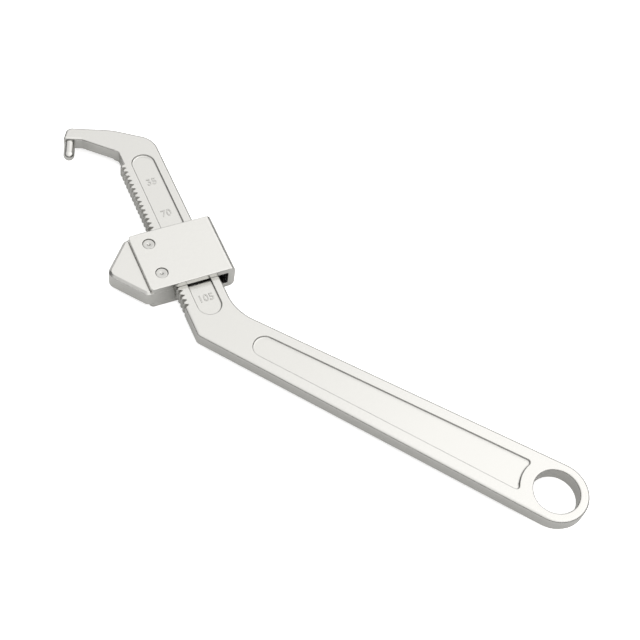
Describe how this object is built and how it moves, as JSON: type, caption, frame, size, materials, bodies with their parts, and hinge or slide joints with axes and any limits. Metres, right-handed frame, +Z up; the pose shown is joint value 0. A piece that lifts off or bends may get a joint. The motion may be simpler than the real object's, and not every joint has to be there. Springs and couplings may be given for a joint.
{
  "type": "adjustable hook wrench",
  "caption": "Flat forged hook wrench for hydrant caps and ring nuts: cranked toothed shank, round hook pin, sliding jaw with a spring-held rack mesh, and a hanging hole.",
  "frame": {"origin": "centre of the handle's hanging hole, at mid thickness", "axes": "+X along the handle from the hanging hole towards the head, +Z up through the thickness with the wrench lying flat; the shank is cranked 39.4 degrees towards -Y"},
  "size_m": [0.285, 0.0884, 0.0132],
  "materials": {
    "forged_body": "satin chrome plating over forged steel",
    "pin_steel": "bright chrome plating over turned steel",
    "yoke_steel": "satin chrome plating over bent steel plate",
    "jaw_steel": "satin chrome plating over forged steel",
    "rivet_steel": "plated rivet with a formed head",
    "spring_steel": "tempered spring strip"
  },
  "bodies": {
    "wrench": {"wrench_body": "forged_body", "hook_pin": "pin_steel"},
    "spring_carriage": {"leaf_spring": "spring_steel"},
    "slider": {"yoke": "yoke_steel", "jaw_block": "jaw_steel", "rivet_grip_side": "rivet_steel", "rivet_hook_side": "rivet_steel"}
  },
  "joints": [
    {"name": "jaw_travel", "type": "slide", "parent": "wrench", "child": "spring_carriage", "axis": [0.7727, -0.6347, 0], "range_m": [-0.0104, 0.0364]},
    {"name": "jaw_lift", "type": "slide", "parent": "spring_carriage", "child": "slider", "axis": [0.6347, 0.7727, 0], "range_m": [0, 0.0024], "stiffness_N_per_m": 3000, "springref_m": -0.002, "deforming": ["leaf_spring"]}
  ]
}
